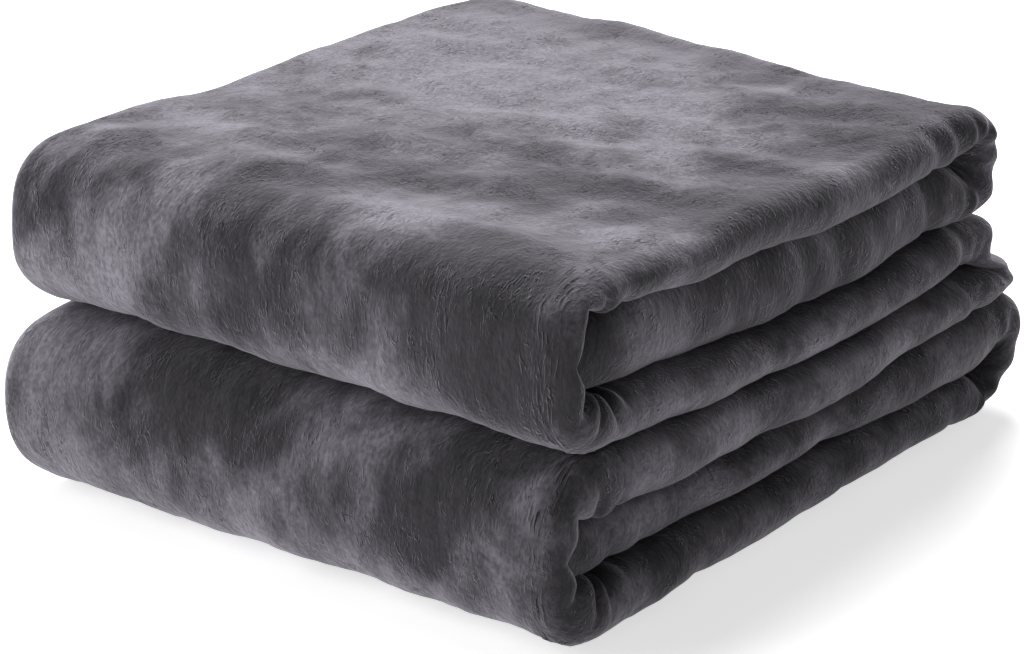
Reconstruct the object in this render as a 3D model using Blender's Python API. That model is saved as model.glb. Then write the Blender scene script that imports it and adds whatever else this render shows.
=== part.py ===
"""A plush throw blanket, folded into two stacked packets.

The cloth is first folded in quarters across its width. That makes a long band of four plies,
with a smooth rolled edge along +X, and a doubled fold and two hems along -X. The band is then
folded along its length into six layers. The lower half is lower_bottom, lower_inner and
lower_top, and the upper half is upper_bottom, upper_inner and upper_top. In each half a front
spine joins the top and bottom layers round the free end of the inner one, and a back fold joins
the inner layer to one of them. The joining fold at the back carries the band from one half to
the other, and the upper half opens about it like the cover of a book.

The stack's middle is over the origin, it rests on z = 0, its spines face -Y, and +Z is up.
Everything is in metres.
"""

import math

import bmesh
import bpy

# The cloth as it lies folded.
BAND_WIDTH = 0.3175  # along X: a quarter of the width the cloth was cut to
STACK_LENGTH = 0.370  # along Y: from the lower spine to the lower back fold
LAYER_PITCH = 0.0260  # along Z: one band of four plies and the gap over it
UPPER_FRONT_INSET = 0.004  # how far the upper spine lies behind the lower one
UPPER_BACK_INSET = 0.015  # how far the upper back fold stops short of the lower one

# Its turned and stitched edges.
SIDE_HEM_DEPTH = 0.025
OUTER_HEM_SETBACK = 0.002  # from the fold beside it, on the outermost ply
INNER_HEM_SETBACK = 0.006
END_HEM_DEPTH = 0.030

# What separates the pieces.
CLEARANCE = 0.0003
FOLD_CORE = 0.0010  # radius left open at the inside of a tight fold

ROUND_STEPS = 4  # facets in a quarter circle

BAND_THICKNESS = LAYER_PITCH - CLEARANCE
FRONT_Y = -STACK_LENGTH / 2
BACK_Y = STACK_LENGTH / 2
LAYERS_IN_A_HALF = 3
SPINE_RADIUS = (LAYERS_IN_A_HALF * LAYER_PITCH - CLEARANCE) / 2
BACK_FOLD_RADIUS = (2 * LAYER_PITCH - CLEARANCE) / 2
HINGE_Y = BACK_Y + CLEARANCE / 2
HINGE_Z = LAYERS_IN_A_HALF * LAYER_PITCH - CLEARANCE / 2

FABRIC_ROUGHNESS = 0.9
LAYER_COLOUR = (0.085, 0.083, 0.092)
FOLD_COLOUR = (0.120, 0.117, 0.128)
HEM_COLOUR = (0.062, 0.060, 0.068)


def clear_scene():
    """Remove every object the session holds."""
    for obj in list(bpy.data.objects):
        bpy.data.objects.remove(obj, do_unlink=True)


def fabric(name, colour):
    """A dull cloth material of one colour."""
    material = bpy.data.materials.new(name)
    material.use_nodes = True
    shader = material.node_tree.nodes["Principled BSDF"]
    shader.inputs["Base Color"].default_value = (*colour, 1.0)
    shader.inputs["Roughness"].default_value = FABRIC_ROUGHNESS
    shader.inputs["Metallic"].default_value = 0.0
    return material


def half_round(centre_x, centre_t, radius, towards):
    """Points of a half circle that bulges towards +X (1) or -X (-1), going round anticlockwise."""
    points = []
    for step in range(2 * ROUND_STEPS + 1):
        angle = math.pi * (step / (2 * ROUND_STEPS) - 0.5)
        x = centre_x + towards * radius * math.cos(angle)
        points.append((x, centre_t + towards * radius * math.sin(angle)))
    return points


def band_outline(thickness, hem_step=0.0):
    """The band cut across: (x, t), with t = 0 on its smooth face and t = thickness on the other.

    The +X edge is one rolled fold. The -X edge is two: the doubled fold at t < thickness / 2, and
    above it either the same again or, where hem_step isn't 0, a step that leaves room for the hems.
    """
    edge = BAND_WIDTH / 2
    quarter = thickness / 4
    outline = half_round(edge - thickness / 2, thickness / 2, thickness / 2, 1)
    if hem_step:
        outline.append((hem_step - edge, thickness))
        outline.append((hem_step - edge, thickness / 2))
    else:
        outline += half_round(quarter - edge, thickness - quarter, quarter, -1)
        outline[-1] = (outline[-1][0], thickness / 2 + CLEARANCE)
        outline.append((quarter - edge, thickness / 2 - CLEARANCE))
    doubled = half_round(quarter - edge, quarter, quarter, -1)
    return outline + doubled[1:]


def hem_outline(bottom_t, thickness, setback):
    """One side hem cut across: a flat strip with a rounded -X edge."""
    edge = BAND_WIDTH / 2
    radius = thickness / 2
    outline = half_round(setback + radius - edge, bottom_t + radius, radius, -1)
    inner_x = SIDE_HEM_DEPTH - CLEARANCE - edge
    return outline + [(inner_x, bottom_t), (inner_x, bottom_t + thickness)]


def face_from(mesh, outline, smooth_face_up, top):
    """Add a flat face of the outline at y = 0, turned over where the smooth face is up."""
    corners = []
    for x, t in outline:
        corners.append(mesh.verts.new((x, 0.0, top - t if smooth_face_up else t)))
    return mesh.faces.new(corners)


def finish(name, mesh, location, parent, colour):
    """Turn the built mesh into a named, smooth-shaded object under its half."""
    bmesh.ops.recalc_face_normals(mesh, faces=mesh.faces)
    data = bpy.data.meshes.new(name)
    mesh.to_mesh(data)
    mesh.free()
    data.shade_smooth()
    data.set_sharp_from_angle(angle=math.radians(40))
    obj = bpy.data.objects.new(name, data)
    bpy.context.scene.collection.objects.link(obj)
    obj.data.materials.append(fabric(name, colour))
    obj.parent = parent
    obj.location = [at - under for at, under in zip(location, parent.location)]
    return obj


def extruded(outline, smooth_face_up, stations):
    """A solid drawn along Y from y = 0 through the stations (y, share of the full thickness)."""
    mesh = bmesh.new()
    face = face_from(mesh, outline, smooth_face_up, BAND_THICKNESS)
    middle = BAND_THICKNESS / 2
    last_share = 1.0
    for step, (y, share) in enumerate(stations):
        grown = bmesh.ops.extrude_face_region(mesh, geom=[face])["geom"]
        if step:
            mesh.faces.remove(face)
        face = next(item for item in grown if isinstance(item, bmesh.types.BMFace))
        for corner in face.verts:
            corner.co.y = y
            corner.co.z = middle + (corner.co.z - middle) * share / last_share
        last_share = share
    return mesh


def spun(outline, inner_radius, smooth_face_outside, sweep, start):
    """A solid made by turning the band's outline about an X axis through its local origin."""
    mesh = bmesh.new()
    outer_radius = inner_radius + max(t for _, t in outline)
    corners = []
    for x, t in outline:
        radius = outer_radius - t if smooth_face_outside else inner_radius + t
        corners.append(mesh.verts.new((x, radius * math.cos(start), radius * math.sin(start))))
    face = mesh.faces.new(corners)
    steps = round(4 * ROUND_STEPS * abs(sweep) / math.pi)
    bmesh.ops.spin(
        mesh,
        geom=[face, *face.edges, *face.verts],
        cent=(0.0, 0.0, 0.0),
        axis=(1.0, 0.0, 0.0),
        angle=sweep,
        steps=steps,
    )
    return mesh


def new_half(name, location):
    """The empty that carries one half of the stack, on the axis it opens about."""
    empty = bpy.data.objects.new(name, None)
    bpy.context.scene.collection.objects.link(empty)
    empty.location = location
    return empty


def front_of(half):
    """Where the half's spine reaches furthest forward."""
    return FRONT_Y + (UPPER_FRONT_INSET if half == "upper" else 0.0)


def spine_centre_y(half):
    return front_of(half) + SPINE_RADIUS


def back_fold_centre_y(half):
    inset = UPPER_BACK_INSET if half == "upper" else 0.0
    return BACK_Y - inset - BACK_FOLD_RADIUS


def joining_fold_centre_y():
    return BACK_Y - BACK_FOLD_RADIUS


def layer_span(half, place):
    """Where the straight part of a layer starts and stops along Y."""
    start = spine_centre_y(half) + (END_HEM_DEPTH if place == "inner" else 0.0)
    meets_other_half = (half, place) in (("lower", "top"), ("upper", "bottom"))
    stop = joining_fold_centre_y() if meets_other_half else back_fold_centre_y(half)
    return start + CLEARANCE, stop - CLEARANCE


def make_layer(half, place, level, smooth_face_up, parent):
    """One straight layer of the band and the two side hems that lie along its -X edge."""
    start, stop = layer_span(half, place)
    location = (0.0, start, level * LAYER_PITCH)
    through = [(stop - start, 1.0)]
    name = f"{half}_{place}"
    outline = band_outline(BAND_THICKNESS, hem_step=SIDE_HEM_DEPTH)
    mesh = extruded(outline, smooth_face_up, through)
    finish(f"{name}_layer", mesh, location, parent, LAYER_COLOUR)
    hem_thickness = BAND_THICKNESS / 4 - CLEARANCE
    inner_bottom = BAND_THICKNESS / 2 + CLEARANCE
    outer_bottom = BAND_THICKNESS - hem_thickness
    hems = (("inner", inner_bottom, INNER_HEM_SETBACK), ("outer", outer_bottom, OUTER_HEM_SETBACK))
    for side, bottom, setback in hems:
        mesh = extruded(hem_outline(bottom, hem_thickness, setback), smooth_face_up, through)
        finish(f"{name}_{side}_hem", mesh, location, parent, HEM_COLOUR)


def make_end_hem(half, level, smooth_face_up, parent):
    """The stitched free end of the band, tucked nose first into its spine."""
    depth = END_HEM_DEPTH - CLEARANCE
    nose_radius = BAND_THICKNESS / 2
    stations = [(-depth, 1.0)]
    for step in range(1, ROUND_STEPS):
        angle = math.pi / 2 * step / ROUND_STEPS
        stations.append((-depth - nose_radius * math.sin(angle), math.cos(angle)))
    mesh = extruded(band_outline(BAND_THICKNESS), smooth_face_up, stations)
    location = (0.0, spine_centre_y(half) + depth, level * LAYER_PITCH)
    finish(f"{half}_inner_end_hem", mesh, location, parent, HEM_COLOUR)


def make_front_spine(half, level, parent):
    """The round front fold that carries the band from the half's top layer to its bottom one."""
    inner_radius = SPINE_RADIUS - BAND_THICKNESS
    mesh = spun(band_outline(BAND_THICKNESS), inner_radius, True, math.pi, math.pi / 2)
    centre = (0.0, spine_centre_y(half), level * LAYER_PITCH + SPINE_RADIUS)
    finish(f"{half}_front_spine", mesh, centre, parent, FOLD_COLOUR)


def make_back_fold(half, level, parent):
    """The fold at the back that carries the band between two layers of the same half."""
    outline = band_outline(BACK_FOLD_RADIUS - FOLD_CORE)
    mesh = spun(outline, FOLD_CORE, True, math.pi, -math.pi / 2)
    centre = (0.0, back_fold_centre_y(half), level * LAYER_PITCH + BACK_FOLD_RADIUS)
    finish(f"{half}_back_fold", mesh, centre, parent, FOLD_COLOUR)


def make_joining_fold(parents):
    """The fold between the halves, in two quarter turns that part at the hinge's height."""
    outline = band_outline(BACK_FOLD_RADIUS - FOLD_CORE)
    centre = (0.0, joining_fold_centre_y(), HINGE_Z)
    for half, turn in (("lower", -1.0), ("upper", 1.0)):
        mesh = spun(outline, FOLD_CORE, False, -turn * math.pi / 2, turn * math.pi / 2)
        for corner in mesh.verts:
            corner.co.z = turn * max(turn * corner.co.z, CLEARANCE / 2)
        finish(f"joining_fold_{half}", mesh, centre, parents[half], FOLD_COLOUR)


def make_half(half, level, smooth_faces_up, back_fold_level, parent):
    """The three layers, end hem, spine and back fold of one half, from its lowest level up."""
    for step, place in enumerate(("bottom", "inner", "top")):
        make_layer(half, place, level + step, smooth_faces_up[step], parent)
    make_end_hem(half, level + 1, smooth_faces_up[1], parent)
    make_front_spine(half, level, parent)
    make_back_fold(half, back_fold_level, parent)


def main():
    clear_scene()
    parents = {
        "lower": new_half("lower_half", (0.0, 0.0, 0.0)),
        "upper": new_half("upper_half", (0.0, HINGE_Y, HINGE_Z)),
    }
    make_half("lower", 0, (False, True, True), 0, parents["lower"])
    make_half("upper", LAYERS_IN_A_HALF, (False, False, True), LAYERS_IN_A_HALF + 1, parents["upper"])
    make_joining_fold(parents)


if __name__ == "__main__":
    main()
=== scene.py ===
"""The looks of a folded plush throw blanket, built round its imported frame.

The cloth is one surface. Cut across, it is folded in quarters: from one side hem out to the rolled
edge at +X, back to a doubled fold at -X, out to a second rolled edge inside the first, and back to
the other side hem. That band is then carried along a path of straight layers, front spines and
back folds. Everything is in metres.
"""

import math

import bpy
import numpy as np
from bpy.props import FloatProperty, FloatVectorProperty, PointerProperty
from mathutils import Matrix, Vector


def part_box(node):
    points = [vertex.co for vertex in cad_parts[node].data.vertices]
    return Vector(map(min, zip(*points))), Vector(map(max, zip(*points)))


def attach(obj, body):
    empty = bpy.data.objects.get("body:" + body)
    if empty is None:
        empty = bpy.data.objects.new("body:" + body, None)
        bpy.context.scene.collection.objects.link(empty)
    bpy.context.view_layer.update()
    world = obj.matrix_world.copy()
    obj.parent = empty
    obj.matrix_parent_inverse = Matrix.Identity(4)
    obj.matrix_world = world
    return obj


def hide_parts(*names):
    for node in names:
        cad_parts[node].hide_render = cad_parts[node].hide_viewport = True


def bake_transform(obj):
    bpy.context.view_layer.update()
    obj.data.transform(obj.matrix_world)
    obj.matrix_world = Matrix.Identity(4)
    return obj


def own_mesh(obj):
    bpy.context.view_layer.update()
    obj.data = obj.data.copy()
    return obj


bl_info = {
    "name": "Folded Plush Throw",
    "version": (1, 0, 0),
    "blender": (4, 5, 0),
    "location": "View3D > Sidebar > Throw",
    "description": "Plush cloth and studio stage for a folded throw blanket",
    "category": "Object",
}

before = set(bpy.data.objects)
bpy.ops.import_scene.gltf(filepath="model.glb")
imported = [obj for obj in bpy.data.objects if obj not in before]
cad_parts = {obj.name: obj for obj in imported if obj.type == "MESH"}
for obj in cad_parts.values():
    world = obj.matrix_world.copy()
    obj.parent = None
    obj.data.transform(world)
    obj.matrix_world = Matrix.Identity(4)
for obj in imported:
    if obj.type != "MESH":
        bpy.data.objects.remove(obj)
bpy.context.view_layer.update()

RIM_STEPS = 5
LAYERS = 6


class ThrowSizes(bpy.types.PropertyGroup):
    """What can be changed about the cloth's shape."""

    ply_gap: FloatProperty(
        name="Gap between plies",
        description="Air left between one ply of the cloth and the next",
        default=0.0005,
        unit="LENGTH",
    )
    scallop_depth: FloatProperty(
        name="Scallop depth",
        description="How far the gathers on the inside of a spine stand out",
        default=0.0058,
        unit="LENGTH",
    )
    scallop_length: FloatProperty(
        name="Scallop length",
        description="From one gather on the inside of a spine to the next",
        default=0.0150,
        unit="LENGTH",
    )
    lump_height: FloatProperty(
        name="Lump height",
        description="Height of the soft lumps in the plush",
        default=0.0008,
        unit="LENGTH",
    )
    ridge_height: FloatProperty(
        name="Pile ridge height",
        description="Height of the parted lines in the pile beside the rolled edge",
        default=0.0007,
        unit="LENGTH",
    )


class ThrowColours(bpy.types.PropertyGroup):
    """The colours of the plush and of its stage."""

    # The two ends of the brushed patches' colour: partly the pile's own tone, partly painted sheen and
    # painted shade.
    pile_dark: FloatVectorProperty(
        name="Pile, brushed away",
        description="Colour of the plush where its pile leans towards the eye",
        subtype="COLOR",
        default=(0.0265, 0.0250, 0.0288),
    )
    pile_light: FloatVectorProperty(
        name="Pile, brushed up",
        description="Colour of the plush where its pile leans away",
        subtype="COLOR",
        default=(0.196, 0.185, 0.213),
    )
    floor: FloatVectorProperty(
        name="Floor",
        description="Colour of the studio floor",
        subtype="COLOR",
        default=(0.80, 0.80, 0.80),
    )


# The band's path along its length.


def middle_z(node):
    low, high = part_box(node)
    return (low.z + high.z) / 2


def band_segments():
    """The band's path in the YZ plane, from its lower free end to its upper one.

    Each segment is (name, kind, values): a straight one holds its start y, its end y and its z,
    and an arc its centre y and z, its radius, and its start and sweep angles, where angle 0 is +Y.
    """
    z = {}
    for half in ("lower", "upper"):
        for place in ("bottom", "inner", "top"):
            z[half, place] = middle_z(f"{half}_{place}_layer")
    spine_y = {half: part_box(f"{half}_top_layer")[0].y for half in ("lower", "upper")}
    nose_y = {half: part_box(f"{half}_inner_end_hem")[0].y for half in ("lower", "upper")}
    back_y = {"lower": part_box("lower_bottom_layer")[1].y, "upper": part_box("upper_top_layer")[1].y}
    join_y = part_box("lower_top_layer")[1].y

    def straight(half, place, start, end):
        return (f"{half}_{place}", "straight", (start, end, z[half, place]))

    def arc(name, centre_y, low_z, high_z, start, sweep):
        values = (centre_y, (low_z + high_z) / 2, (high_z - low_z) / 2, start, sweep)
        return (name, "arc", values)

    half_turn = math.pi
    up, down = math.pi / 2, -math.pi / 2
    return [
        straight("lower", "inner", nose_y["lower"], back_y["lower"]),
        arc("lower_back_fold", back_y["lower"], z["lower", "bottom"], z["lower", "inner"], up, -half_turn),
        straight("lower", "bottom", back_y["lower"], spine_y["lower"]),
        arc("lower_front_spine", spine_y["lower"], z["lower", "bottom"], z["lower", "top"], down, -half_turn),
        straight("lower", "top", spine_y["lower"], join_y),
        arc("joining_fold", join_y, z["lower", "top"], z["upper", "bottom"], down, half_turn),
        straight("upper", "bottom", join_y, spine_y["upper"]),
        arc("upper_front_spine", spine_y["upper"], z["upper", "bottom"], z["upper", "top"], down, -half_turn),
        straight("upper", "top", spine_y["upper"], back_y["upper"]),
        arc("upper_back_fold", back_y["upper"], z["upper", "inner"], z["upper", "top"], up, -half_turn),
        straight("upper", "inner", back_y["upper"], nose_y["upper"]),
    ]


SEGMENTS = band_segments()
BAND_LOW, BAND_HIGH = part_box("lower_bottom_layer")
BAND = BAND_HIGH.z - BAND_LOW.z
PLY = BAND / 4
HALF_WIDTH = (BAND_HIGH.x - BAND_LOW.x) / 2
FRONT_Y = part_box("lower_front_spine")[0].y
HINGE_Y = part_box("joining_fold_lower")[1].y
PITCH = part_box("upper_top_layer")[1].z / LAYERS


def segment_length(kind, values):
    if kind == "straight":
        return abs(values[1] - values[0])
    return values[2] * abs(values[4])


LENGTHS = np.array([segment_length(kind, values) for _, kind, values in SEGMENTS])
STARTS = np.concatenate([[0.0], np.cumsum(LENGTHS)])
CLOTH_LENGTH = STARTS[-1]
INDEX = {name: i for i, (name, _, _) in enumerate(SEGMENTS)}


def along(name, s):
    """How far through the named segment s is, from 0 to 1 inside it."""
    i = INDEX[name]
    return (s - STARTS[i]) / LENGTHS[i]


def path_at(s):
    """The band's middle at s: y, z and the unit normal that points out of its smooth face."""
    s = np.asarray(s, float)
    y, z = np.zeros_like(s), np.zeros_like(s)
    normal_y, normal_z = np.zeros_like(s), np.zeros_like(s)
    which = np.clip(np.searchsorted(STARTS, s, side="right") - 1, 0, len(SEGMENTS) - 1)
    for i, (_, kind, values) in enumerate(SEGMENTS):
        here = which == i
        part = (s[here] - STARTS[i]) / LENGTHS[i]
        if kind == "straight":
            start, end, height = values
            forward = math.copysign(1.0, end - start)
            y[here], z[here] = start + part * (end - start), height
            normal_y[here], normal_z[here] = 0.0, forward
        else:
            centre_y, centre_z, radius, first, sweep = values
            angle = first + part * sweep
            outward = 1.0 if sweep < 0 else -1.0
            y[here] = centre_y + radius * np.cos(angle)
            z[here] = centre_z + radius * np.sin(angle)
            normal_y[here], normal_z[here] = outward * np.cos(angle), outward * np.sin(angle)
    return y, z, normal_y, normal_z


# Smooth noise.


def waves(points, length, seed, count=9):
    """Smooth noise from -1 to 1: the mean of plane waves of about one length, in fixed directions."""
    draw = np.random.default_rng(seed)
    points = [np.asarray(axis, float) for axis in points]
    total = np.zeros(np.broadcast(*points).shape)
    for _ in range(count):
        direction = draw.normal(size=len(points))
        direction *= 2 * math.pi / (length * draw.uniform(0.7, 1.5) * np.linalg.norm(direction))
        total += np.sin(sum(k * axis for k, axis in zip(direction, points)) + draw.uniform(0, 2 * math.pi))
    return total / math.sqrt(count / 2) / 2


def smoothstep(value):
    value = np.clip(value, 0.0, 1.0)
    return value * value * (3 - 2 * value)


def bump(value, centre, width):
    """A smooth hill from 0 to 1 and back, a width to each side of its centre."""
    return smoothstep(1 - np.abs(value - centre) / width)


def above(z, level, width):
    """0 up to a level of the stack, and 1 from a width over it: both are counted in layers."""
    return smoothstep((z - level * PITCH) / (width * PITCH))


def below(z, level, width):
    """0 from a level of the stack up, and 1 from a width under it: both are counted in layers."""
    return smoothstep((level * PITCH - z) / (width * PITCH))


# The band's shape.

# The cloth is soft, so the stack reaches this much further back from its spines than its frame.
LENGTH_EASE = 1.03

# How far before the hinge line the layers' back ends begin to shift, and how far each one shifts.
END_REACH = 0.075
SHORT_END = 0.019  # the upper half's lowest layer stops this short of the fold below it
LONG_END = 0.005  # the lower half reaches this far past its place, and its fold further yet
FOLD_BULGE = 0.003
UPPER_END = 0.004  # the upper half's end draws in this far at the right
UPPER_END_RISE = 0.012  # and by this much less at the left
BOTTOM_END = 0.028  # the lowest layer's back end draws in this far
CORNER_END = 0.005  # the rolled edge's corner draws in over this reach
CORNER_REACH = 0.030
FORWARD = 0.004  # the front reaches this much further forward, less so in the upper half

# How much each packet's left end draws in above and below its middle, and how steeply.
DRAW_IN = {"over": 0.010, "under": 0.016}
DRAW_IN_LESS = 0.005  # at the top of the upper packet
DRAW_IN_POWER = 3.6

# How high each level of the stack lies, from the floor up, at its corners and halfway along.
LEVELS = {
    "front_right": (0.000, 0.028, 0.056, 0.085, 0.109, 0.146, 0.164),
    "middle_right": (0.000, 0.026, 0.047, 0.073, 0.095, 0.133, 0.159),
    "back_right": (0.000, 0.022, 0.056, 0.077, 0.100, 0.131, 0.157),
    "front_left": (0.000, 0.029, 0.058, 0.088, 0.114, 0.143, 0.1685),
    "middle_left": (0.000, 0.027, 0.055, 0.083, 0.110, 0.137, 0.163),
    "back_left": (0.000, 0.026, 0.053, 0.080, 0.107, 0.135, 0.164),
}

# How far each segment's rolled edge lies beyond the band's own, at its start and at its end.
EDGE_SHIFT = {
    "lower_inner": (-0.006, 0.005),
    "lower_back_fold": (0.005, 0.004),
    "lower_bottom": (0.004, 0.003),
    "lower_front_spine": (0.003, 0.000),
    "lower_top": (0.000, 0.005),
    "joining_fold": (0.005, -0.001),
    "upper_bottom": (-0.001, -0.002),
    "upper_front_spine": (-0.002, 0.000),
    "upper_top": (0.000, 0.000),
    "upper_back_fold": (0.000, -0.003),
    "upper_inner": (-0.005, -0.013),
}


# How square each fold is, above and below its middle: 2 is round.
SQUARENESS = (
    ("lower_front_spine", 2.5, 2.5),
    ("upper_front_spine", 2.5, 2.5),
    ("lower_back_fold", 5.0, 2.0),
    ("joining_fold", 7.0, 7.0),
    ("upper_back_fold", 2.2, 4.5),
)


# How much thinner the band is inside each spine, seen at its rolled edge.
SPINE_THINNING = (("lower_front_spine", 0.0105), ("upper_front_spine", 0.0145))

# How hollow each back fold is at its rolled edge, and how deep its pleats are.
FOLD_HOLLOWS = (
    ("lower_back_fold", 0.0085, 0.0012),
    ("upper_back_fold", 0.0085, 0.0016),
    ("joining_fold", 0.0025, 0.0005),
)
PLEATS = 4.5  # in one fold

# How far the band's free ends reach forward at the rolled edge, elsewhere, and over what length.
FREE_END_REACH = {"lower": 0.012, "upper": 0.016}
FREE_END_PLAIN = 0.005
FREE_END_LENGTH = 0.06


# Creases across the rolled edges: the segment, the place along it, its depth and its half width.
CREASES = (
    ("lower_inner", 0.085, 0.0035, 0.006),
    ("lower_inner", 0.135, 0.0020, 0.005),
    ("lower_inner", 0.56, 0.0018, 0.008),
    ("lower_bottom", 0.80, 0.0014, 0.007),
    ("lower_bottom", 0.42, 0.0010, 0.009),
    ("lower_bottom", 0.10, 0.0016, 0.007),
    ("lower_top", 0.36, 0.0020, 0.010),
    ("lower_top", 0.93, 0.0028, 0.006),
    ("upper_bottom", 0.05, 0.0025, 0.006),
    ("upper_bottom", 0.62, 0.0020, 0.010),
    ("upper_inner", 0.10, 0.0030, 0.007),
    ("upper_inner", 0.36, 0.0028, 0.010),
    ("upper_inner", 0.46, 0.0020, 0.008),
    ("upper_inner", 0.72, 0.0018, 0.012),
    ("upper_top", 0.88, 0.0025, 0.007),
    ("upper_top", 0.94, 0.0025, 0.005),
)


def edge_shift(s):
    """How far the rolled edge is moved along X at s: straight runs between the segments' ends."""
    shifts = [EDGE_SHIFT[name][0] for name, _, _ in SEGMENTS]
    shifts.append(EDGE_SHIFT[SEGMENTS[-1][0]][1])
    return np.interp(s, STARTS, shifts) + 0.0022 * waves((s,), 0.11, 11)


def rounder(values, k, share):
    """A smooth rise through the levels: a cubic whose slope at each level is its neighbours' mean."""
    slope = np.diff(values, axis=-1)
    ends = np.concatenate([slope[..., :1], (slope[..., 1:] + slope[..., :-1]) / 2, slope[..., -1:]], axis=-1)
    low = np.take_along_axis(values, k[..., None], -1)[..., 0]
    high = np.take_along_axis(values, k[..., None] + 1, -1)[..., 0]
    low_slope = np.take_along_axis(ends, k[..., None], -1)[..., 0]
    high_slope = np.take_along_axis(ends, k[..., None] + 1, -1)[..., 0]
    a, b = share * share * (3 - 2 * share), share * (1 - share)
    return low + (high - low) * a + low_slope * b * (1 - share) - high_slope * b * share


def settled_height(x, y, z, right):
    """The height of each point: its level is read between the corners' levels, then it wanders."""
    back = np.clip((y - FRONT_Y) / (HINGE_Y - FRONT_Y), 0, 1)[..., None]
    to_middle, to_back = smoothstep(2 * back), smoothstep(2 * back - 1)
    levels = 0
    for side, share in (("left", 1 - right), ("right", right)):
        front, middle, far = (np.array(LEVELS[f"{place}_{side}"]) for place in ("front", "middle", "back"))
        levels = levels + share * (front + (middle - front) * to_middle + (far - middle) * to_back)
    k = np.clip(np.floor(z / PITCH), 0, LAYERS - 1).astype(int)
    height = rounder(levels, k, z / PITCH - k)
    share = np.clip(z / (PITCH * LAYERS), 0, 1)
    height = height + share * 0.0020 * waves((x, y), 0.13, 21)
    inside = smoothstep((HALF_WIDTH - np.abs(x)) / 0.04) * smoothstep((HINGE_Y - np.abs(y)) / 0.05)
    height = height + share**3 * inside * 0.0019 * waves((0.6 * x + 0.5 * y, 1.3 * y - 0.5 * x), 0.05, 24)
    return np.maximum(height, 0.0)


def drawn_in(x, y, z):
    """X after each packet's left end draws in: most at its top and bottom, and none at its middle."""
    half_height = PITCH * LAYERS / 4
    packet_middle = np.where(z > 2 * half_height, 3 * half_height, half_height)
    off_middle = np.clip(np.abs(z - packet_middle) / half_height, 0, 1)
    front = 1 - 0.6 * smoothstep((y - FRONT_Y) / 0.20)
    left = np.clip(-x / HALF_WIDTH, 0, 1)
    draw = np.where(z > packet_middle, DRAW_IN["over"], DRAW_IN["under"])
    draw = draw - DRAW_IN_LESS * smoothstep((z - 3 * half_height) / 0.01)
    return x + draw * front * off_middle**DRAW_IN_POWER * left**3


def shifted_ends(x, y, z, right):
    """Y after the stack is eased longer and each layer's back end is moved by its own amount."""
    to_end = smoothstep((y - HINGE_Y + END_REACH) / END_REACH)
    forward = FORWARD * smoothstep((-y - 0.05) / 0.10) * (1 - 0.6 * above(z, 2.6, 0.8))
    short = above(z, 2.78, 0.40) * below(z, 4.4, 0.4) * (1 - 0.35 * above(z, 3.4, 0.4))
    longer = (LONG_END + FOLD_BULGE * bump(z, 1.5 * PITCH, PITCH)) * below(z, 2.9, 0.5)
    upper = (UPPER_END - UPPER_END_RISE * (1 - right)) * above(z, 4.0, 0.5)
    bottom = BOTTOM_END * below(z, 1.4, 1.4)
    y = FRONT_Y + (y - FRONT_Y) * LENGTH_EASE - forward
    y = y + to_end * (longer - SHORT_END * short - upper - bottom)
    corner = smoothstep((x - HALF_WIDTH + CORNER_REACH) / CORNER_REACH)
    return y - CORNER_END * to_end * corner * bump(z, 2.6 * PITCH, 0.6 * PITCH)


def settle(x, y, z):
    """The stack as it lies: its levels sag and swell, its left ends draw in, and it wanders a little."""
    right = smoothstep((x + HALF_WIDTH) / (2 * HALF_WIDTH))
    height = settled_height(x, y, z, right[..., None])
    x = drawn_in(x, y, z)
    x = x + 0.0016 * waves((x, y, z), 0.12, 22)
    y = shifted_ends(x, y, z, right)
    y = y + 0.0018 * waves((x, y, z), 0.14, 23)
    return x, y, height


def superellipse_stretch(angle, exponent):
    """How much further a superellipse reaches at an angle than the circle it starts from."""
    reach = np.abs(np.cos(angle)) ** exponent + np.abs(np.sin(angle)) ** exponent
    return reach ** (-1.0 / exponent)


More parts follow.
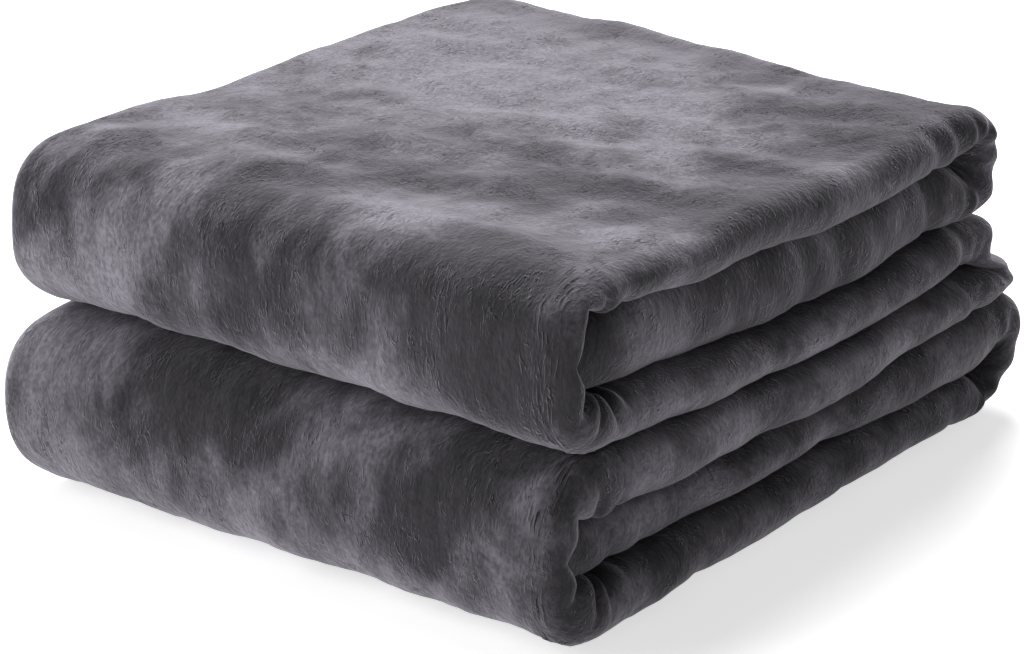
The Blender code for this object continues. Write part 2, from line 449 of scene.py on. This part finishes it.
def in_space(x, t, s, sizes):
    """The place of a point of the band: x across, t down from its smooth face, and s along it.

    The point is carried to the path's middle and offset along its normal. Then the spines are
    squared, their insides gathered, the rolled edges shifted, and the stack is settled.
    """
    x, t, s = np.broadcast_arrays(np.asarray(x, float), t, s)
    near_edge = smoothstep((x - HALF_WIDTH + 0.045) / 0.045)
    inward = np.clip(t / BAND, 0, 1)
    # The upper free end tapers onto the layer below it.
    taper = smoothstep((0.070 - (CLOTH_LENGTH - s)) / 0.070)
    t = t * (1 - 0.52 * taper**2 * near_edge)
    y, z, normal_y, normal_z = path_at(s)
    offset = BAND / 2 - t
    for name, thinned in SPINE_THINNING:
        part = along(name, s)
        in_spine = smoothstep((part + 0.30) / 0.34) * smoothstep((1.22 - part) / 0.16)
        wander = s + 0.0025 * waves((s,), 0.03, 14)
        gather = np.abs(np.sin(math.pi * (wander - STARTS[INDEX[name]]) / sizes.scallop_length))
        offset = offset - sizes.scallop_depth * (gather - 0.6) * in_spine * near_edge * inward**2
        x = x + 0.0028 * (gather - 0.6) * in_spine * near_edge * inward
        thin_here = smoothstep((part - 0.20) / 0.30) * smoothstep((1.05 - part) / 0.45)
        offset = offset + thinned * inward * near_edge * thin_here
    for name, hollow, deep in FOLD_HOLLOWS:
        part = along(name, s)
        in_fold = smoothstep((part + 0.45) / 0.6) * smoothstep((1.45 - part) / 0.6)
        pleat = np.sin(2 * math.pi * part * PLEATS)
        offset = offset + (hollow + deep * pleat) * in_fold * near_edge**2 * inward**1.6
        x = x + 0.9 * deep * pleat * in_fold * near_edge * (0.25 + inward)
    for name, place, depth, reach in CREASES:
        i = INDEX[name]
        lean = 0.35 * (t - BAND / 2) * (1 if i % 2 else -1)
        away = (s + lean - STARTS[i] - place * LENGTHS[i]) / reach
        x = x - depth * np.exp(-(away**2)) * near_edge**2
    y, z = y + normal_y * offset, z + normal_z * offset
    for distance, half in ((s, "lower"), (CLOTH_LENGTH - s, "upper")):
        forward = FREE_END_PLAIN + (FREE_END_REACH[half] - FREE_END_PLAIN) * near_edge
        y = y - forward * smoothstep((FREE_END_LENGTH - distance) / FREE_END_LENGTH)
    for name, above, below in SQUARENESS:
        _, _, (centre_y, centre_z, _, first, sweep) = SEGMENTS[INDEX[name]]
        part = along(name, s)
        inside = (part >= 0) & (part <= 1)
        exponent = np.where(z > centre_z, above, below)
        stretch = superellipse_stretch(first + part * sweep, exponent)
        stretch = np.where(inside, stretch, 1.0)
        y, z = centre_y + (y - centre_y) * stretch, centre_z + (z - centre_z) * stretch
    x = x + edge_shift(s) * np.clip(x / HALF_WIDTH, 0, 1) ** 2
    x = x + 0.0025 * waves((s,), 0.16, 12) * np.clip(-x / HALF_WIDTH, 0, 1) ** 2
    return np.stack(settle(x, y, z), -1)


# The band cut across.


def ply_line():
    """The cloth's middle line across the band: q, x, t and the unit normal out of its outer face.

    It is drawn as straight runs and half circles, each a list of places a tenth of a millimetre
    apart, from the hem on the outermost ply to the hem on the third.
    """
    step = 0.0001
    tight = PLY / 2
    outer = 1.5 * PLY
    roll_x = HALF_WIDTH - BAND / 2
    fold_x = PLY - HALF_WIDTH
    hem_outer = -HALF_WIDTH + 0.003
    hem_inner = -HALF_WIDTH + 0.007

    def run(x0, x1, t):
        count = int(abs(x1 - x0) / step)
        x = np.linspace(x0, x1, count, endpoint=False)
        return x, np.full(count, t), np.zeros(count), np.full(count, math.copysign(1.0, x1 - x0))

    def turn(x0, t0, radius, first, sweep):
        count = int(radius * abs(sweep) / step)
        angle = first + sweep * np.arange(count) / count
        side = -math.copysign(1.0, sweep)
        cosine, sine = np.cos(angle), np.sin(angle)
        return x0 + radius * cosine, t0 + radius * sine, side * cosine, side * sine

    pieces = [
        run(hem_outer, roll_x, 3.5 * PLY),
        turn(roll_x, BAND / 2, outer, math.pi / 2, -math.pi),
        run(roll_x, fold_x, PLY / 2),
        turn(fold_x, PLY, tight, -math.pi / 2, -math.pi),
        run(fold_x, roll_x, 1.5 * PLY),
        turn(roll_x, BAND / 2, tight, -math.pi / 2, math.pi),
        run(roll_x, hem_inner, 2.5 * PLY),
    ]
    x, t, normal_x, normal_t = (np.concatenate(values) for values in zip(*pieces))
    q = np.arange(len(x)) * step
    marks = np.cumsum([0] + [len(piece[0]) for piece in pieces]) * step
    return q, x, t, normal_x, normal_t, marks


LINE = ply_line()
MARKS = LINE[5]


def graded(low, high, places, steps):
    """Sample places from low to high, whose spacing runs smoothly through the given steps."""
    fine = np.linspace(low, high, 6000)
    rate = 1.0 / np.interp(fine, places, steps)
    total = np.concatenate([[0.0], np.cumsum((rate[1:] + rate[:-1]) / 2 * np.diff(fine))])
    count = max(2, int(round(total[-1])))
    return np.interp(np.linspace(0, total[-1], count + 1), total, fine)


def across_samples():
    """Places across the cloth for its outer face and its inner face: fine where they can be seen."""
    hem, roll, face, fold, second, inner, third, end = MARKS
    near = 0.030
    places = [hem, hem + 0.03, roll - 0.06, roll - near, face + near, face + 0.09, fold - 0.03]
    steps = [0.0015, 0.012, 0.012, 0.0014, 0.0012, 0.0022, 0.0020]
    places += [second, second + 0.02, inner - 0.03, third, end - 0.03, end]
    steps += [0.0014, 0.015, 0.015, 0.015, 0.015, 0.0015]
    outer = graded(hem, end, places, steps)
    places = [hem, roll - 0.02, roll, face, face + 0.02, fold, second, inner - 0.01, inner, third, end]
    steps = [0.020, 0.020, 0.004, 0.004, 0.020, 0.003, 0.020, 0.015, 0.002, 0.002, 0.020]
    inner_face = graded(hem, end, places, steps)
    return outer, inner_face


def line_at(q):
    line_q, x, t, normal_x, normal_t, _ = LINE
    return [np.interp(q, line_q, values) for values in (x, t, normal_x, normal_t)]


def along_samples():
    """Places along the band, and which of them part one piece of cloth from the next."""
    parts, cuts = [], [0]
    for i, (_, kind, _) in enumerate(SEGMENTS):
        spacing = 0.0022 if kind == "straight" else 0.0010
        count = int(round(LENGTHS[i] / spacing))
        parts.append(STARTS[i] + LENGTHS[i] * np.arange(count) / count)
        cuts.append(cuts[-1] + count)
    parts.append([CLOTH_LENGTH])
    return np.concatenate(parts), cuts


def cloth_grid(sizes):
    """The whole cloth as a grid of points: one row for each place along, one column for each across.

    A row goes over the outer face from hem to hem, round the second hem, and back over the inner
    face. Each face lies half the cloth's thickness from its middle line, and the cloth thins to
    nothing at the band's two free ends.
    """
    along_s, cuts = along_samples()
    outer, inner = across_samples()
    half = (PLY - sizes.ply_gap) / 2
    rim = np.linspace(0, math.pi, RIM_STEPS + 2)[1:-1]
    q = np.concatenate([outer, np.full(len(rim), outer[-1]), inner[::-1], np.full(len(rim), outer[0])])
    side = np.concatenate([np.ones(len(outer)), np.cos(rim), -np.ones(len(inner)), -np.cos(rim)])
    out = np.concatenate([np.zeros(len(outer)), np.sin(rim), np.zeros(len(inner)), np.sin(rim)])
    x, t, normal_x, normal_t = line_at(q)
    end_distance = np.minimum(along_s, CLOTH_LENGTH - along_s)[:, None]
    nose = np.sqrt(np.clip(1 - (1 - np.clip(end_distance / 0.006, 0, 1)) ** 2, 0.04, 1))
    thick = half * side[None, :] * nose
    s = along_s[:, None] + 0 * thick
    lumps, ridges, parted = surface_relief(q[None, :], s, sizes)
    outer_face = (side > 0.99)[None, :]
    thick = thick + np.where(outer_face, lumps + ridges, 0.0) * nose
    across = x + normal_x * thick - out * half * nose
    down = t + normal_t * thick
    points = in_space(across, down, s, sizes)
    return points, q, s, cuts, np.where(outer_face, parted, 0.0)


# Patches where the pile's colour is lighter or darker: partly the real tone of its brushed nap, partly
# painted sheen and painted shade. Each gives x, y, z, how far it reaches, and how much lighter it is there.
NAP_SHEEN_AND_SHADE = (
    # the top
    (-0.060, 0.090, 0.16, 0.130, 1.5),
    (-0.115, 0.160, 0.16, 0.045, 0.8),
    (-0.060, 0.175, 0.16, 0.040, 1.0),
    (-0.120, 0.020, 0.16, 0.045, 0.8),
    (-0.080, 0.060, 0.16, 0.035, 0.9),
    (0.010, 0.010, 0.16, 0.030, 1.1),
    (0.045, 0.045, 0.16, 0.028, 1.1),
    (0.060, 0.150, 0.16, 0.030, 0.8),
    (-0.130, -0.090, 0.16, 0.045, 0.8),
    (0.000, 0.100, 0.16, 0.040, -0.4),
    (0.125, 0.110, 0.16, 0.050, -1.3),
    (-0.020, -0.060, 0.16, 0.040, -0.4),
    (0.045, -0.150, 0.16, 0.018, 1.2),
    (0.062, -0.130, 0.16, 0.020, 1.5),
    (0.090, -0.114, 0.16, 0.019, 1.7),
    (0.122, -0.108, 0.16, 0.018, 1.7),
    (0.108, -0.168, 0.155, 0.034, -1.8),
    (0.050, -0.085, 0.16, 0.030, -0.9),
    (0.130, -0.065, 0.16, 0.030, -1.0),
    (0.089, -0.024, 0.16, 0.022, 1.1),
    (0.115, -0.020, 0.16, 0.045, -0.7),
    # the upper spine
    (-0.150, -0.185, 0.10, 0.030, 0.9),
    (-0.110, -0.185, 0.10, 0.028, 0.8),
    (-0.060, -0.185, 0.12, 0.030, -0.3),
    (0.020, -0.185, 0.095, 0.022, 0.8),
    (0.060, -0.185, 0.092, 0.028, 1.3),
    (0.010, -0.185, 0.135, 0.035, -0.5),
    (0.115, -0.185, 0.125, 0.042, -1.4),
    # the lower spine
    (-0.155, -0.185, 0.050, 0.022, 0.7),
    (-0.125, -0.185, 0.020, 0.030, 1.4),
    (-0.080, -0.185, 0.028, 0.026, 1.1),
    (-0.015, -0.185, 0.016, 0.030, 1.6),
    (0.055, -0.185, 0.015, 0.028, 1.5),
    (-0.070, -0.185, 0.068, 0.030, -0.6),
    (0.010, -0.185, 0.062, 0.036, -0.7),
    (0.100, -0.185, 0.050, 0.035, -0.7),
    # inside the spines and along the rolled edges
    (0.150, -0.165, 0.125, 0.030, -1.0),
    (0.150, -0.165, 0.045, 0.026, -0.8),
    (0.150, -0.110, 0.118, 0.018, 1.2),
    (0.150, 0.000, 0.122, 0.045, -1.0),
    (0.150, -0.060, 0.088, 0.030, 0.4),
    (0.150, 0.100, 0.060, 0.030, 0.5),
)


def nap_sheen_and_shade(points):
    """How much lighter the pile's colour is, about 0 to 1, partly its brushed nap and partly painted sheen
    and painted shade: the sum of soft hills and of smooth noise.
    """
    field = 0.40 + 0.24 * waves([points[..., i] for i in range(3)], 0.075, 41)
    field = field + 0.16 * waves([points[..., i] for i in range(3)], 0.026, 42)
    for x, y, z, reach, rise in NAP_SHEEN_AND_SHADE:
        away = ((points - np.array((x, y, z))) ** 2).sum(-1) / reach**2
        field = field + 0.34 * rise * np.exp(-away)
    return field


def surface_relief(q, s, sizes):
    """Soft lumps all over the plush, and the parted lines in its pile beside the rolled edge."""
    lumps = sizes.lump_height * waves((q, s), 0.045, 31)
    lumps = lumps + 0.2 * sizes.lump_height * waves((q, s), 0.012, 32)
    beside = q - MARKS[2]
    spine = 0
    for half in ("lower", "upper"):
        part = along(f"{half}_front_spine", s)
        spine = spine + smoothstep((part + 0.5) / 0.4) * smoothstep((1.35 - part) / 0.4)
    wander = 0.0030 * waves((q, s), 0.035, 33) + 0.0009 * waves((q, s), 0.009, 35)
    lines = np.sin(2 * math.pi * (beside + wander) / 0.0044)
    patchy = smoothstep(0.55 + 1.1 * waves((q, s), 0.010, 34))
    parted = patchy * bump(beside + wander, 0.001, 0.0105) * np.clip(spine, 0, 1)
    return lumps, sizes.ridge_height * lines * parted, parted


def grid_normals(points):
    """The unit normal at each grid point, from its neighbours along and across."""
    across = np.roll(points, -1, 1) - np.roll(points, 1, 1)
    along_rows = np.gradient(points, axis=0)
    normal = np.cross(across, along_rows)
    return normal / np.maximum(np.linalg.norm(normal, axis=-1, keepdims=True), 1e-12)


def painted_crease_shade(normals, s):
    """Painted shade in the creases between the covered layers, 0 to 1: darker where the cloth faces up or
    down, and none on the bare faces.
    """
    bare = 0
    for name, before, after in (
        ("lower_front_spine", 0.10, 0.05),
        ("upper_front_spine", 0.10, 0.20),
        ("upper_top", 0.0, 0.0),
        ("upper_back_fold", 0.0, -0.2),
    ):
        part = along(name, s)
        bare = bare + smoothstep((part + before) / 0.15) * smoothstep((1 + after - part) / 0.15)
    up = normals[..., 2]
    # Painted shade: up-facing cloth under the layer above, and down-facing cloth over the layer below.
    crease_shade = 0.85 * smoothstep((up - 0.15) / 0.70) + 0.75 * smoothstep((-0.45 - up) / 0.45)
    return crease_shade * (1 - np.clip(bare, 0, 1))


def end_cap(outer_q, inner_q, rim):
    """Triangles across one end of a piece, as columns of its grid, wound for the first row.

    The outer and the inner face's samples are taken in turn, in the order of their place across
    the cloth, and each makes a triangle with the last one taken on the other face. A fan closes
    each hem's rim.
    """
    outer_count, inner_count = len(outer_q), len(inner_q)
    first_inner = outer_count + rim + inner_count - 1
    places = np.concatenate([outer_q[1:], inner_q[1:]])
    from_outer = np.arange(len(places)) < outer_count - 1
    order = np.argsort(places, kind="stable")
    from_outer = from_outer[order]
    outer_taken = np.cumsum(from_outer) - from_outer
    inner_taken = np.cumsum(~from_outer) - ~from_outer
    outer_column, inner_column = outer_taken, first_inner - inner_taken
    across = np.where(
        from_outer[:, None],
        np.stack([outer_column + 1, outer_column, inner_column], 1),
        np.stack([outer_column, inner_column, inner_column - 1], 1),
    )
    columns = outer_count + inner_count + 2 * rim
    fans = []
    for start, end in ((outer_count - 1, outer_count + rim), (first_inner, columns)):
        places = np.arange(start + 1, end)
        fans.append(np.stack([np.full(len(places), start), (places + 1) % columns, places], 1))
    return np.concatenate([across, *fans])


def mesh_from_grid(name, points, normals, uv_q, uv_s, cap, painted):
    """A mesh of quads over a grid whose columns close on themselves, with a cap at each end."""
    rows, columns = points.shape[:2]
    column = np.arange(columns)
    first = (np.arange(rows - 1)[:, None] * columns + column[None, :]).ravel()
    beside = (np.arange(rows - 1)[:, None] * columns + (column + 1) % columns).ravel()
    quads = np.stack([first, beside, beside + columns, first + columns], 1)
    last = cap[:, ::-1] + (rows - 1) * columns
    corners = np.concatenate([quads.ravel(), cap.ravel(), last.ravel()])
    counts = np.concatenate([np.full(len(quads), 4), np.full(2 * len(cap), 3)])
    ends = np.stack([points[0] - points[1], points[-1] - points[-2]])
    ends /= np.linalg.norm(ends, axis=-1, keepdims=True)
    flat_normals = normals.reshape(-1, 3)
    corner_normals = np.concatenate([
        flat_normals[quads.ravel()], ends[0][cap.ravel()], ends[1][cap[:, ::-1].ravel()]
    ])
    mesh = bpy.data.meshes.new(name)
    mesh.vertices.add(rows * columns)
    mesh.vertices.foreach_set("co", points.reshape(-1).astype(np.float32))
    mesh.loops.add(len(corners))
    mesh.loops.foreach_set("vertex_index", corners.astype(np.int32))
    mesh.polygons.add(len(counts))
    mesh.polygons.foreach_set("loop_start", (np.cumsum(counts) - counts).astype(np.int32))
    mesh.update(calc_edges=True)
    mesh.shade_smooth()
    uv = mesh.uv_layers.new(name="cloth")
    flat = np.stack([uv_q.ravel(), uv_s.ravel()], 1)
    uv.data.foreach_set("uv", flat[corners].reshape(-1).astype(np.float32))
    for attribute, values in painted.items():
        layer = mesh.attributes.new(attribute, "FLOAT", "POINT")
        layer.data.foreach_set("value", values.ravel().astype(np.float32))
    mesh.normals_split_custom_set(corner_normals.tolist())
    obj = bpy.data.objects.new(name, mesh)
    bpy.context.scene.collection.objects.link(obj)
    return obj


class Graph:
    """A short way to write a material's nodes."""

    def __init__(self, name):
        self.material = bpy.data.materials.new(name)
        self.material.use_nodes = True
        self.nodes = self.material.node_tree.nodes
        self.links = self.material.node_tree.links
        self.shader = self.nodes["Principled BSDF"]

    def put(self, socket, value):
        if isinstance(value, bpy.types.NodeSocket):
            self.links.new(value, socket)
        else:
            socket.default_value = value

    def set(self, **values):
        for name, value in values.items():
            self.put(self.shader.inputs[name.replace("_", " ")], value)

    def uv(self):
        node = self.nodes.new("ShaderNodeUVMap")
        node.uv_map = "cloth"
        return node.outputs["UV"]

    def attribute(self, name):
        node = self.nodes.new("ShaderNodeAttribute")
        node.attribute_name = name
        return node.outputs["Fac"]

    def stretched(self, vector, scale, turn=0.0):
        node = self.nodes.new("ShaderNodeMapping")
        node.inputs["Scale"].default_value = scale
        node.inputs["Rotation"].default_value = (0.0, 0.0, turn)
        self.links.new(vector, node.inputs["Vector"])
        return node.outputs["Vector"]

    def noise(self, vector, scale, detail, roughness, distortion=0.0):
        node = self.nodes.new("ShaderNodeTexNoise")
        self.links.new(vector, node.inputs["Vector"])
        settings = {"Scale": scale, "Detail": detail, "Roughness": roughness, "Distortion": distortion}
        for name, value in settings.items():
            node.inputs[name].default_value = value
        return node.outputs["Fac"]

    def math(self, operation, *values):
        node = self.nodes.new("ShaderNodeMath")
        node.operation = operation
        for socket, value in zip(node.inputs, values):
            self.put(socket, value)
        return node.outputs["Value"]

    def ranged(self, value, low, high, to_low=0.0, to_high=1.0):
        node = self.nodes.new("ShaderNodeMapRange")
        node.interpolation_type = "SMOOTHSTEP"
        for socket, number in zip(node.inputs, (value, low, high, to_low, to_high)):
            self.put(socket, number)
        return node.outputs["Result"]

    def mixed(self, share, low, high):
        node = self.nodes.new("ShaderNodeMix")
        node.data_type = "RGBA"
        self.links.new(share, node.inputs["Factor"])
        for name, value in (("A", low), ("B", high)):
            self.put([i for i in node.inputs if i.name == name and i.type == "RGBA"][0], value)
        return [o for o in node.outputs if o.type == "RGBA"][0]

    def split(self, vector):
        node = self.nodes.new("ShaderNodeSeparateXYZ")
        self.links.new(vector, node.inputs["Vector"])
        return node.outputs

    def raised(self, height, strength, distance):
        node = self.nodes.new("ShaderNodeBump")
        node.inputs["Strength"].default_value = strength
        node.inputs["Distance"].default_value = distance
        self.links.new(height, node.inputs["Height"])
        self.put(self.shader.inputs["Normal"], node.outputs["Normal"])


def plush_material(name, colours):
    """Short plush: brushed patches that are partly painted sheen and painted shade, fine tufts, small dark
    partings, painted shade in the creases between layers, and a velvety sheen at its rims.
    """
    g = Graph(name)
    g.set(Roughness=0.9, Specular_IOR_Level=0.12, Sheen_Weight=0.40, Sheen_Roughness=0.42)
    g.set(Sheen_Tint=(0.86, 0.82, 0.93, 1.0))
    uv = g.uv()
    # Brushed patches, partly the nap's own tone and partly painted sheen and painted shade, broken up at
    # their edges.
    broken = g.noise(uv, 38.0, 6.0, 0.66, 0.5)
    share = g.math("ADD", g.attribute("brushed"), g.math("MULTIPLY", g.math("SUBTRACT", broken, 0.5), 1.6))
    share = g.ranged(share, 0.05, 1.05)
    # Tufts of a millimetre or so.
    tufts = g.noise(uv, 620.0, 2.0, 0.6)
    clumps = g.noise(uv, 230.0, 2.0, 0.6, 0.4)
    # Partings: short dark strokes in two directions, and fine curved creases, both in clusters.
    strokes = []
    for turn, scale in ((0.45, (780.0, 250.0, 1.0)), (-0.35, (700.0, 300.0, 1.0))):
        stroke = g.noise(g.stretched(uv, scale, turn), 1.0, 1.0, 0.5, 0.6)
        strokes.append(g.ranged(stroke, 0.58, 0.74))
    stroke = g.math("MAXIMUM", *strokes)
    clusters = g.ranged(g.noise(uv, 48.0, 3.0, 0.6), 0.44, 0.62, 0.0, 1.0)
    stroke = g.math("MULTIPLY", stroke, clusters)
    curls = g.noise(g.stretched(uv, (210.0, 120.0, 1.0), 0.2), 1.0, 2.0, 0.55, 1.2)
    crease = g.ranged(g.math("ABSOLUTE", g.math("SUBTRACT", curls, 0.5)), 0.004, 0.055, 1.0, 0.0)
    breaks = g.ranged(g.noise(uv, 230.0, 1.0, 0.5), 0.46, 0.58)
    crease = g.math("MULTIPLY", g.math("MULTIPLY", crease, breaks), clusters)
    # Long parted lines beside the rolled edge of a spine.
    across = g.split(uv)[0]
    wander = g.math("MULTIPLY", g.noise(uv, 90.0, 2.0, 0.5), 0.0065)
    lines = g.math("SINE", g.math("MULTIPLY", g.math("ADD", across, wander), 2 * math.pi / 0.0021))
    groove = g.math("MULTIPLY", g.ranged(lines, 0.0, 0.8), g.attribute("parted"))
    groove = g.math("MULTIPLY", groove, g.ranged(g.noise(uv, 260.0, 1.0, 0.5), 0.36, 0.52))

    # The brushed patches' colour, which carries painted sheen and painted shade as well as the nap's own
    # tone.
    colour = g.mixed(share, (*colours.pile_dark, 1.0), (*colours.pile_light, 1.0))
    grain = g.math("ADD", g.math("MULTIPLY", tufts, 0.55), g.math("MULTIPLY", clumps, 0.45))
    shade = g.ranged(grain, 0.34, 0.66, 0.50, 0.0)
    shade = g.math("MAXIMUM", shade, g.math("MULTIPLY", stroke, 0.40))
    shade = g.math("MAXIMUM", shade, g.math("MULTIPLY", crease, 0.62))
    # Painted shade in the creases between the covered layers.
    shade = g.math("MAXIMUM", shade, g.math("MULTIPLY", g.attribute("crease_shade"), 0.80))
    shade = g.math("MAXIMUM", shade, g.math("MULTIPLY", groove, 0.95))
    colour = g.mixed(shade, colour, (*[0.25 * c for c in colours.pile_dark], 1.0))
    g.set(Base_Color=colour)

    height = g.math("MULTIPLY", tufts, 0.35)
    height = g.math("ADD", height, g.math("MULTIPLY", clumps, 0.7))
    height = g.math("SUBTRACT", height, g.math("MULTIPLY", stroke, 0.2))
    height = g.math("SUBTRACT", height, g.math("MULTIPLY", crease, 0.5))
    height = g.math("SUBTRACT", height, g.math("MULTIPLY", groove, 0.5))
    g.raised(height, 0.9, 0.0012)
    return g.material


def build_cloth(sizes, colours):
    """The cloth's pieces, one for each segment of the band's path."""
    points, q, s, cuts, parted = cloth_grid(sizes)
    # The brushed patches: partly the nap's own tone, partly painted sheen and painted shade.
    brushed = nap_sheen_and_shade(points)
    normals = grid_normals(points)
    # Painted shade in the creases between the layers.
    crease_shade = painted_crease_shade(normals, s)
    outer, inner = across_samples()
    cap = end_cap(outer, inner, RIM_STEPS)
    uv_q = np.broadcast_to(q[None, :], s.shape)
    material = plush_material("plush", colours)
    pieces = {}
    for i, (name, _, _) in enumerate(SEGMENTS):
        rows = slice(cuts[i], cuts[i + 1] + 1)
        painted = {"brushed": brushed[rows], "parted": parted[rows], "crease_shade": crease_shade[rows]}
        obj = mesh_from_grid(f"{name}_cloth", points[rows], normals[rows], uv_q[rows], s[rows], cap, painted)
        obj.data.materials.append(material)
        pieces[name] = obj
    return pieces


# The back folds that get a mesh of their own, each with the share of its depth it would keep where the open
# halves press on each other.
PRESSED_DEPTH = {"lower_back_fold": 0.57, "upper_back_fold": 0.93}


def press_when_open(piece):
    """Read a back fold's points and give its piece a mesh of its own; nothing is moved."""
    places = np.empty(len(piece.data.vertices) * 3)
    piece.data.vertices.foreach_get("co", places)
    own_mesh(piece)


def hem_nodes(name):
    return [f"{name}_inner_hem", f"{name}_outer_hem"]


class THROW_OT_cloth(bpy.types.Operator):
    """Fold the plush cloth and hand each piece to its half"""

    bl_idname = "throw.cloth"
    bl_label = "Plush cloth"

    def execute(self, context):
        pieces = build_cloth(context.scene.throw_sizes, context.scene.throw_colours)
        for i, (name, kind, _) in enumerate(SEGMENTS):
            piece = pieces[name]
            if name == "joining_fold":
                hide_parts("joining_fold_lower", "joining_fold_upper")
            elif kind == "arc":
                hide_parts(name)
            elif name.endswith("inner"):
                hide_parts(f"{name}_layer", f"{name}_end_hem", *hem_nodes(name))
            else:
                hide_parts(f"{name}_layer", *hem_nodes(name))
            if name == "joining_fold":
                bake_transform(piece)
            else:
                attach(piece, "lower_half" if name.startswith("lower") else "upper_half")
            if name in PRESSED_DEPTH:
                press_when_open(piece)
        return {"FINISHED"}


FLOOR_REACH = 12.0
FLOOR_GLOW = 0.63
ROOM_LIGHT = 0.17

# Each light: where it shines from, how wide it looks in degrees, and its strength.
SOFTBOXES = (
    ("back_left_softbox", (-0.75, 0.55, 1.0), 45.0, 5.7),
    ("front_left_softbox", (-1.0, -0.7, 0.5), 50.0, 2.5),
)

# The camera: its angles in degrees, its lens in millimetres, and the point that it looks past.
AZIMUTH, ELEVATION = 37.26, 21.0
LENS, SENSOR_WIDTH = 112.5, 36.0
AIM_HEIGHT = 0.075
CAMERA_OFFSET = (-0.0052, -0.0148, 1.5208)  # to its right, up, and back


def lay_floor(collection, colour):
    """A wide pale square under the throw, a little lit by itself."""
    material = bpy.data.materials.new("floor")
    material.use_nodes = True
    shader = material.node_tree.nodes["Principled BSDF"]
    shader.inputs["Base Color"].default_value = (*colour, 1.0)
    shader.inputs["Roughness"].default_value = 0.6
    shader.inputs["Emission Color"].default_value = (1.0, 1.0, 1.0, 1.0)
    shader.inputs["Emission Strength"].default_value = FLOOR_GLOW
    mesh = bpy.data.meshes.new("floor")
    r = FLOOR_REACH
    mesh.from_pydata([(-r, -r, 0), (r, -r, 0), (r, r, 0), (-r, r, 0)], [], [(0, 1, 2, 3)])
    mesh.materials.append(material)
    floor = bpy.data.objects.new("floor", mesh)
    collection.objects.link(floor)


def light_studio(scene):
    """An even white room, and two wide lights from the left."""
    world = bpy.data.worlds.new("studio")
    world.use_nodes = True
    background = world.node_tree.nodes["Background"]
    background.inputs["Color"].default_value = (1.0, 1.0, 1.0, 1.0)
    background.inputs["Strength"].default_value = ROOM_LIGHT
    scene.world = world
    scene.view_settings.view_transform = "Standard"
    for name, place, spread, power in SOFTBOXES:
        light = bpy.data.lights.new(name, "SUN")
        light.energy = power
        light.angle = math.radians(spread)
        obj = bpy.data.objects.new(name, light)
        scene.collection.objects.link(obj)
        obj.location = place
        obj.rotation_euler = obj.location.to_track_quat("Z", "Y").to_euler()


def set_camera(scene):
    """A long lens, turned by its azimuth from the front and raised by its elevation."""
    azimuth, elevation = math.radians(AZIMUTH), math.radians(ELEVATION)
    level = math.cos(elevation)
    back = Vector((math.sin(azimuth) * level, -math.cos(azimuth) * level, math.sin(elevation)))
    right = Vector((math.cos(azimuth), math.sin(azimuth), 0.0))
    up = back.cross(right)
    data = bpy.data.cameras.new("camera")
    data.lens = LENS
    data.sensor_width = SENSOR_WIDTH
    camera = bpy.data.objects.new("camera", data)
    turn = Matrix((right, up, back)).transposed().to_4x4()
    aside, lifted, away = CAMERA_OFFSET
    place = Vector((0, 0, AIM_HEIGHT)) + aside * right + lifted * up + away * back
    camera.matrix_world = Matrix.Translation(place) @ turn
    scene.collection.objects.link(camera)
    scene.camera = camera


class THROW_OT_stage(bpy.types.Operator):
    """Lay the pale floor and set the soft studio lights and the camera"""

    bl_idname = "throw.stage"
    bl_label = "Studio stage"

    def execute(self, context):
        scene = context.scene
        lay_floor(scene.collection, scene.throw_colours.floor)
        light_studio(scene)
        set_camera(scene)
        return {"FINISHED"}


class THROW_PT_sidebar(bpy.types.Panel):
    """Lists the throw's sizes and colours, and buttons for its cloth and its stage"""

    bl_idname = "THROW_PT_sidebar"
    bl_label = "Folded throw"
    bl_space_type = "VIEW_3D"
    bl_region_type = "UI"
    bl_category = "Throw"

    def draw(self, context):
        for group in (context.scene.throw_sizes, context.scene.throw_colours):
            for name in group.bl_rna.properties.keys():
                if name not in ("rna_type", "name"):
                    self.layout.prop(group, name)
        for operator in (THROW_OT_cloth, THROW_OT_stage):
            self.layout.operator(operator.bl_idname)


CLASSES = (ThrowSizes, ThrowColours, THROW_OT_cloth, THROW_OT_stage, THROW_PT_sidebar)


def register():
    for cls in CLASSES:
        bpy.utils.register_class(cls)
    bpy.types.Scene.throw_sizes = PointerProperty(type=ThrowSizes)
    bpy.types.Scene.throw_colours = PointerProperty(type=ThrowColours)


def unregister():
    del bpy.types.Scene.throw_sizes
    del bpy.types.Scene.throw_colours
    for cls in reversed(CLASSES):
        bpy.utils.unregister_class(cls)


def main():
    register()
    bpy.ops.throw.stage()
    bpy.ops.throw.cloth()


if __name__ == "__main__":
    main()
